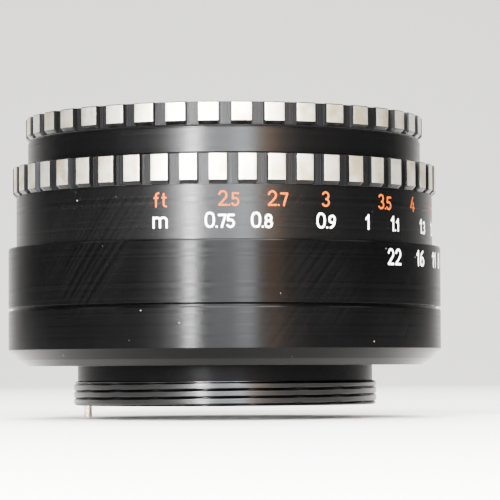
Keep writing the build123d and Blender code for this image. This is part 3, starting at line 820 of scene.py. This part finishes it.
def focus_ring():
    floor = FOCUS_R - GROOVE_DEPTH
    foot = FOCUS_GRIP_BOTTOM
    bore = 27.4
    flange_r, flange_bottom, flange_top = 24.6, 18.0, 19.5
    sleeve = [
        (flange_r, flange_bottom),
        (bore, flange_bottom),
        (bore, SLEEVE_BOTTOM),
        (SLEEVE_R - 0.05, SLEEVE_BOTTOM),
        (SLEEVE_R, SLEEVE_BOTTOM + 0.05),
        (SLEEVE_R, foot - 0.04),
        (bore, foot - 0.04),
        (bore, flange_top),
        (flange_r, flange_top),
    ]
    lathe("focus_sleeve", sleeve, RING_BLACK, "focus_ring")
    outline = [
        (bore, bore, foot - 0.04, False),
        (SLEEVE_R - 0.03, SLEEVE_R - 0.03, foot - 0.04, False),
        (SLEEVE_R + 0.03, SLEEVE_R - 0.03, foot, False),
        (SLEEVE_R + 0.03, floor, foot + 0.06, False),
        (FOCUS_R - 0.03, floor, foot + 0.46, False),
        (FOCUS_R, floor, foot + 0.52, True),
        (FOCUS_R, floor, FOCUS_TOP - 0.14, False),
        (FOCUS_R - 0.05, floor, FOCUS_TOP - 0.05, False),
        (FOCUS_R - 0.14, floor - 0.02, FOCUS_TOP, False),
        (bore + 0.08, bore + 0.08, FOCUS_TOP, False),
        (bore, bore, FOCUS_TOP - 0.08, False),
    ]
    grip_ring("focus_ring", outline, FOCUS_LANDS, FOCUS_LAND_WIDTH, FOCUS_TOOTH_ANGLE)


# Each figure and its bearing from the index line at rest, in degrees.
METRES = (
    ("0.75", -96.0),
    ("0.8", -85.2),
    ("0.9", -67.6),
    ("1", -54.2),
    ("1.1", -43.2),
    ("1.3", -26.5),
    ("1.5", -14.2),
    ("2", 3.6),
    ("3", 21.3),
    ("5", 35.0),
    ("10", 45.1),
    ("~", 54.9),
)
FEET = (
    ("2.5", -93.7),
    ("2.7", -81.0),
    ("3", -67.7),
    ("3.5", -47.6),
    ("4", -34.0),
    ("5", -18.1),
    ("6", -4.0),
    ("8", 12.0),
    ("12", 27.0),
    ("20", 38.2),
    ("~", 54.9),
)
UNITS_BEARING = -111.4
METRE_BASE, FOOT_BASE = 17.6, 20.4
FIGURE_HEIGHT = 2.06
FIGURE_WIDTH = 1.1
DECIMAL_SHARE = 0.86


def distance_scale():
    white, orange = bmesh.new(), bmesh.new()
    for bm, figures, base in ((white, METRES, METRE_BASE), (orange, FEET, FOOT_BASE)):
        for figure, bearing in figures:
            place = on_cylinder(SLEEVE_R, bearing, base)
            write(bm, figure, FIGURE_HEIGHT, place, DECIMAL_SHARE, FIGURE_WIDTH)
    write(white, "m", 1.92, on_cylinder(SLEEVE_R, UNITS_BEARING, METRE_BASE), wide=1.18)
    write(orange, "ft", 2.0, on_cylinder(SLEEVE_R, UNITS_BEARING, FOOT_BASE - 0.1), wide=1.06)
    make_object("metre_figures", white, WHITE, "focus_ring")
    make_object("foot_figures", orange, ORANGE, "focus_ring")


def aperture_ring():
    floor = APERTURE_R - GROOVE_DEPTH
    foot = APERTURE_GRIP_BOTTOM
    bore, groove, groove_top, seat = 25.45, 25.75, 28.9, 33.5
    rim_bore = 26.3
    neck = foot + 0.36
    band = [
        (groove, APERTURE_BOTTOM),
        (BAND_R - 0.08, APERTURE_BOTTOM),
        (BAND_R, APERTURE_BOTTOM + 0.08),
        (BAND_R, foot - 0.06),
        (BAND_R - 0.06, foot),
        (BAND_R - 0.22, foot + 0.02),
        (BAND_R - 0.22, foot + 0.14),
        (BAND_R - 0.12, foot + 0.20),
        (BAND_R - 0.08, foot + 0.28),
        (BAND_R - 0.14, neck),
        (bore, neck),
        (bore, groove_top),
        (groove, groove_top),
    ]
    lathe("aperture_band", band, RING_BLACK, "aperture_ring", radius=0.02)
    outline = [
        (bore, bore, neck, False),
        (BAND_R - 0.14, BAND_R - 0.16, neck, False),
        (BAND_R - 0.10, floor, neck + 0.06, False),
        (APERTURE_R - 0.03, floor, foot + 0.78, False),
        (APERTURE_R, floor, foot + 0.84, True),
        (APERTURE_R, floor, APERTURE_TOP - 0.14, False),
        (APERTURE_R - 0.05, floor, APERTURE_TOP - 0.05, False),
        (APERTURE_R - 0.14, floor - 0.02, APERTURE_TOP, False),
        (rim_bore + 0.05, rim_bore + 0.05, APERTURE_TOP, False),
        (rim_bore, rim_bore, APERTURE_TOP - 0.05, False),
        (rim_bore, rim_bore, seat, False),
        (bore, bore, seat, False),
    ]
    grip_ring("aperture_ring", outline, APERTURE_LANDS, APERTURE_LAND_WIDTH)


CLICK_ANGLE = 11.0
STOPS = ("2.8", "4", "5.6", "8", "11", "16", "22")
STOP_BASE = APERTURE_BOTTOM + 0.55
STOP_HEIGHT = 1.9


def stop_figures():
    bm = bmesh.new()
    for step, stop in enumerate(STOPS):
        place = on_cylinder(BAND_R, CLICK_ANGLE * step, STOP_BASE)
        write(bm, stop, STOP_HEIGHT, place, DECIMAL_SHARE)
    make_object("stop_figures", bm, WHITE, "aperture_ring")


# ---- Front end ----


def filter_ring():
    """The ring with the filter thread cut into its bore."""
    pitch, depth, flank, fade_length = 0.75, 0.4, 0.3, 0.2
    seat_r, lip_r, waist_r, thread_r, relief_r = NAME_R + 0.05, 21.2, 25.4, 24.1, 24.4
    lip_top, rim_bottom = FILTER_BASE + 1.6, 33.6
    start, end = NAME_TOP + 0.3, FRONT_RIM - 0.3
    rows = 60
    heights = [start + (end - start) * i / rows for i in range(rows + 1)]
    outside = [
        (seat_r, NAME_TOP),
        (seat_r, lip_top),
        (lip_r, lip_top),
        (lip_r, FILTER_BASE),
        (waist_r, FILTER_BASE),
        (waist_r, rim_bottom - 0.05),
        (waist_r + 0.05, rim_bottom),
        (RIM_R - 0.06, rim_bottom),
        (RIM_R, rim_bottom + 0.06),
        (RIM_R, FRONT_RIM - 0.08),
        (RIM_R - 0.08, FRONT_RIM),
        (thread_r + 0.25, FRONT_RIM),
    ]
    bm = bmesh.new()
    columns = []
    for i in range(SEGMENTS):
        angle = 2 * math.pi * i / SEGMENTS
        outline = list(outside)
        for z in reversed(heights):
            phase = (z / pitch - angle / (2 * math.pi)) % 1.0
            wave = 1.0 - min(1.0, abs(phase - 0.5) / flank)
            fade = min(1.0, (end - z) / fade_length, (z - start) / fade_length)
            outline.append((thread_r + depth * wave * max(0.0, fade), z))
        outline += [(relief_r, start - 0.05), (relief_r, NAME_TOP)]
        columns.append(column(bm, outline, angle))
    grid_faces(bm, columns)
    make_object("filter_ring_threaded", bm, FRONT_BLACK, "optical_block", ["filter_ring"])
    mark = bmesh.new()
    stroke_bead(mark, [(0, 0.22), (0, 0.75)], 0.16, on_face(25.2, 0, FRONT_RIM))
    make_object("stop_index_mark", mark, WHITE, "optical_block")


def name_ring():
    """The flat ring round the front glass, with figures for the aperture and the focal length."""
    bore, figures_r, height = 17.2, 19.7, 1.9
    outline = [(bore, NAME_BOTTOM), (NAME_R, NAME_BOTTOM), (NAME_R, NAME_TOP), (bore, NAME_TOP)]
    lathe("name_ring_face", outline, FRONT_BLACK, "optical_block", ["name_ring"])
    bm = bmesh.new()
    for text, bearing in (("1:2.8", 128), ("f=50", 90), ("1:2.8", -52), ("f=50", -90)):
        write(bm, text, height, on_face(figures_r, bearing, NAME_TOP))
    make_object("name_ring_figures", bm, WHITE, "optical_block")


def front_cone():
    """The funnel in front of the glass, turned with steps that stop stray light."""
    steps, undercut = 13, 0.12
    inner_rear, inner_front, wall, rim = 10.8, 17.0, 0.8, 1.0
    rise = (CONE_TOP - CONE_BOTTOM) / steps
    run = (inner_front - inner_rear) / steps
    outline = [(inner_rear, CONE_BOTTOM)]
    for step in range(steps):
        z = CONE_BOTTOM + rise * (step + 1)
        outline += [(inner_rear + run * step, z - undercut), (inner_rear + run * (step + 1), z)]
    outline += [(CONE_R, CONE_TOP), (CONE_R, CONE_TOP - rim), (inner_rear + wall, CONE_BOTTOM)]
    nodes = ["front_cone"]
    lathe("front_cone_stepped", outline, FRONT_BLACK, "optical_block", nodes, radius=0.03)


def turned_ring(node, outline, radius=EDGE):
    """A blackened turned ring of the optics, in place of the CAD node it is named after."""
    lathe(node + "_turned", outline, INNER_BLACK, "optical_block", [node], radius)


def front_cell():
    wall_r, front_bore, middle_bore, rear_bore = 12.15, 10.05, 7.55, 7.1
    collar_bottom, collar_top, shoulder = 10.4, 11.6, 8.6
    outline = [
        (rear_bore, CELL_BOTTOM),
        (wall_r, CELL_BOTTOM),
        (wall_r, collar_bottom),
        (CELL_R, collar_bottom),
        (CELL_R, collar_top),
        (wall_r, collar_top),
        (wall_r, CELL_TOP),
        (front_bore, CELL_TOP),
        (front_bore, shoulder),
        (middle_bore, shoulder),
        (middle_bore, 4.72),
        (rear_bore, 4.6),
    ]
    turned_ring("front_cell", outline)
    outer_r, bottom, top = 10.0, 14.42, 16.6
    turned_ring("front_retainer", [(9.3, bottom), (outer_r, bottom), (outer_r, top), (9.8, top)], 0.05)


def meridian(radius, vertex, semi_diameter):
    """A lens surface's outline from its vertex out. Radius is positive where its centre lies behind."""
    steps = 20
    points = []
    for i in range(steps + 1):
        r = semi_diameter * i / steps
        sag = abs(radius) - math.sqrt(radius**2 - r**2)
        points.append((r, vertex - math.copysign(sag, radius)))
    return points


# Name, material, semi-diameter, then the radius and vertex height of the front and rear surfaces.
ELEMENTS = (
    ("front_element", FRONT_GLASS, 10.0, (22.01, 16.43), (-435.76, 13.17)),
    ("middle_element", INNER_GLASS, 7.5, (-22.21, 7.17), (20.29, 6.17)),
    ("rear_element", INNER_GLASS, 8.5, (79.68, 1.42), (-18.395, -1.98)),
)


def glass():
    for node, material, semi_diameter, front, rear in ELEMENTS:
        edge = semi_diameter - 0.02
        bm = disc_solid(meridian(*front, edge), meridian(*rear, edge))
        make_object(node + "_polished", bm, material, "optical_block", [node])


def rear_cell():
    bore, front_bore = 8.55, 7.9
    outline = [
        (bore, REAR_CELL_BOTTOM),
        (REAR_CELL_R, REAR_CELL_BOTTOM),
        (REAR_CELL_R, REAR_CELL_TOP),
        (front_bore, REAR_CELL_TOP),
        (front_bore, 1.02),
        (bore, 0.98),
    ]
    turned_ring("rear_cell", outline)
    turned_ring("rear_retainer", [(8.2, -1.6), (8.5, -1.6), (8.5, -0.08), (7.9, -0.24)], 0.05)


# ---- Springs ----


def coil(node, centre, axis, length, coil_r, wire_r, turns, body):
    """A spring along an axis, as a swept wire with closed ends."""
    steps_per_turn, sides = 20, 8
    bm = bmesh.new()
    axis = Vector(axis).normalized()
    side = axis.orthogonal().normalized()
    other = axis.cross(side)
    steps = int(turns * steps_per_turn)
    rings = []
    for i in range(steps + 1):
        t = i / steps
        a = 2 * math.pi * turns * t
        out = side * math.cos(a) + other * math.sin(a)
        point = Vector(centre) + axis * (t - 0.5) * length + out * coil_r
        ring = []
        for k in range(sides):
            b = 2 * math.pi * k / sides
            ring.append(bm.verts.new(point + wire_r * (math.cos(b) * out + math.sin(b) * axis)))
        rings.append(ring)
    grid_faces(bm, rings, close_columns=False)
    bm.faces.new(rings[0][::-1])
    bm.faces.new(rings[-1])
    make_object(node + "_coil", bm, SPRING_STEEL, body, [node])


# Node, centre, axis, length, coil radius, wire radius, turns and body.
SPRINGS = (
    ("iris_spring", (-17.3, -0.6, 3.7), (0, 1, 0), 5.0, 0.4, 0.09, 20, "optical_block"),
    ("lever_spring", (-18.05, 3.0, -1.6), (1, 0, 0), 0.36, 1.0, 0.07, 2.5, "barrel"),
    ("detent_spring", (0, 23.35, 28.2), (0, 1, 0), 1.95, 0.4, 0.08, 7, "optical_block"),
)


def springs():
    for spring in SPRINGS:
        coil(*spring)


# ---- Carried-over CAD nodes ----

NODE_MATERIALS = {
    "helicoid_outer": BRASS,
    "guide_keys": BRASS,
    "lever_bracket": BRIGHT_STEEL,
    "lever_pivot": BRIGHT_STEEL,
    "aperture_lever": BRIGHT_STEEL,
    "iris_drive_ring": BRIGHT_STEEL,
    "detent_ball": BRIGHT_STEEL,
    "carrier": ALLOY,
    "helicoid_retainer": ALLOY,
    "helicoid_inner": ALLOY,
    "iris_housing": INNER_BLACK,
    "iris_cover": INNER_BLACK,
    "lens_spacer": INNER_BLACK,
}


def dress_nodes():
    for name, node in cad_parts.items():
        material = NODE_MATERIALS.get(name, SCREW_STEEL)
        if name.startswith("iris_blade"):
            material = BLADE_STEEL
        node.data.materials.clear()
        node.data.materials.append(material)


# ---- Stage, light and camera ----

CAMERA_DISTANCE = 360.0
CAMERA_BEARING = -94.8
CAMERA_HEIGHT = -0.6
CAMERA_PITCH = 2.65
CAMERA_ROLL = 0.3
CAMERA_LENS = 186.1
CAMERA_YAW = -0.56524
SENSOR_WIDTH = 36.0
FLOOR_Z = -7.3


def around_camera(degrees, distance, height):
    """A point in metres, at a bearing from the camera's own as seen from the optical axis."""
    angle = math.radians(CAMERA_BEARING + degrees)
    return Vector((distance * math.cos(angle), distance * math.sin(angle), height)) * MM


def plain(name, color, roughness):
    """A plain colour that varies faintly over a wide area."""
    shader = Shader(name, color, roughness)
    shader.color(shader.mix(shader.noise(9.0, 3.0), color, tuple(c * 0.97 for c in color)))
    return shader.material


def stage():
    """A pale floor that curves up into a pale wall behind the lens."""
    flat, sweep, wall_top, curve_steps = 700.0, 500.0, 1900.0, 16
    across = (-2600, -900, -200, 200, 900, 2600)
    path = [(-2600.0, 0.0), (-700.0, 0.0), (-200.0, 0.0), (200.0, 0.0)]
    for step in range(curve_steps + 1):
        angle = math.pi / 2 * step / curve_steps
        path.append((flat + sweep * math.sin(angle), sweep * (1 - math.cos(angle))))
    path.append((flat + sweep, wall_top))
    back = around_camera(180, 1, 0) / MM
    side = Vector((0, 0, 1)).cross(back)
    rows = []
    bm = bmesh.new()
    for away, up in path:
        centre = back * away + Vector((0, 0, FLOOR_Z + up))
        rows.append([bm.verts.new((centre + side * place) * MM) for place in across])
    for near, far in zip(rows, rows[1:]):
        for i in range(len(near) - 1):
            bm.faces.new((near[i], near[i + 1], far[i + 1], far[i])).smooth = True
    bmesh.ops.recalc_face_normals(bm, faces=bm.faces)
    floor = link_mesh("floor", bm)
    floor.data.materials.append(plain("pale_floor", (0.72, 0.71, 0.69), 0.85))


def area_light(name, bearing, distance, height, size, power, color):
    data = bpy.data.lights.new(name, "AREA")
    data.shape = "RECTANGLE"
    data.size, data.size_y = size[0] * MM, size[1] * MM
    data.energy = power
    data.color = color
    light = bpy.data.objects.new(name, data)
    light.location = around_camera(bearing, distance, height)
    aim = Vector((0, 0, AIM_HEIGHT * MM)) - light.location
    light.rotation_mode = "QUATERNION"
    light.rotation_quaternion = aim.to_track_quat("-Z", "Y")
    bpy.context.scene.collection.objects.link(light)


# Name, bearing from the camera's, distance, height, size, power in watts and colour.
LIGHTS = (
    ("strip", -17.0, 420, 20, (18, 420), 21.0, (1.0, 1.0, 1.0)),
    ("strip_halo", -25, 425, 20, (80, 420), 1.9, (1.0, 1.0, 1.0)),
    ("left_halo", -35, 420, 20, (80, 420), 0.42, (1.0, 1.0, 1.0)),
    ("left_haze", -50, 420, 20, (160, 420), 0.2, (1.0, 1.0, 1.0)),
    ("panel", 11, 418, 20, (72, 420), 3.4, (0.95, 0.97, 1.0)),
    ("broad", 4, 430, 20, (175, 420), 7.4, (0.9, 0.95, 1.0)),
    ("warm", 23, 420, 20, (88, 420), 1.7, (1.0, 0.6, 0.36)),
    ("right_halo", 35.5, 420, 20, (90, 420), 0.3, (1.0, 0.85, 0.7)),
    ("right_haze", 56, 420, 20, (160, 420), 0.1, (1.0, 0.85, 0.7)),
    ("key", 0, 560, 520, (700, 300), 34.0, (1.0, 1.0, 1.0)),
    ("key_left", -75, 600, 430, (300, 300), 1.0, (1.0, 0.93, 0.76)),
    ("key_right", 75, 600, 430, (300, 300), 1.4, (1.0, 0.9, 0.7)),
    ("top", 180, 300, 700, (600, 600), 20.0, (1.0, 1.0, 1.0)),
)
AIM_HEIGHT = 15.0
WORLD_COLOR = (0.95, 0.97, 1.0, 1.0)
WORLD_STRENGTH = 0.25


def lights():
    world = bpy.data.worlds.new("studio")
    bpy.context.scene.world = world
    world.use_nodes = True
    background = world.node_tree.nodes["Background"]
    background.inputs[0].default_value = WORLD_COLOR
    background.inputs[1].default_value = WORLD_STRENGTH
    for light in LIGHTS:
        area_light(*light)


def camera():
    data = bpy.data.cameras.new("camera")
    data.lens = CAMERA_LENS
    data.sensor_width = SENSOR_WIDTH
    data.clip_start, data.clip_end = 0.01, 50.0
    piece = bpy.data.objects.new("camera", data)
    piece.location = around_camera(0, CAMERA_DISTANCE, CAMERA_HEIGHT)
    look = -around_camera(0, 1, 0).normalized()
    level = look.to_track_quat("-Z", "Y")
    turn = Quaternion((0, 0, 1), math.radians(CAMERA_YAW))
    right = turn @ (level @ Vector((1, 0, 0)))
    pitch = Quaternion(right, math.radians(CAMERA_PITCH))
    aim = pitch @ turn @ look
    roll = Quaternion(aim, math.radians(CAMERA_ROLL))
    piece.rotation_mode = "QUATERNION"
    piece.rotation_quaternion = roll @ pitch @ turn @ level
    bpy.context.scene.collection.objects.link(piece)
    bpy.context.scene.camera = piece


camera()
dress_nodes()
rear_barrel()
scale_barrel()
depth_scale()
mount_thread()
mount_flange()
rear_plate()
aperture_pin()
focus_ring()
distance_scale()
aperture_ring()
stop_figures()
filter_ring()
name_ring()
front_cone()
front_cell()
glass()
rear_cell()
springs()
stage()
lights()
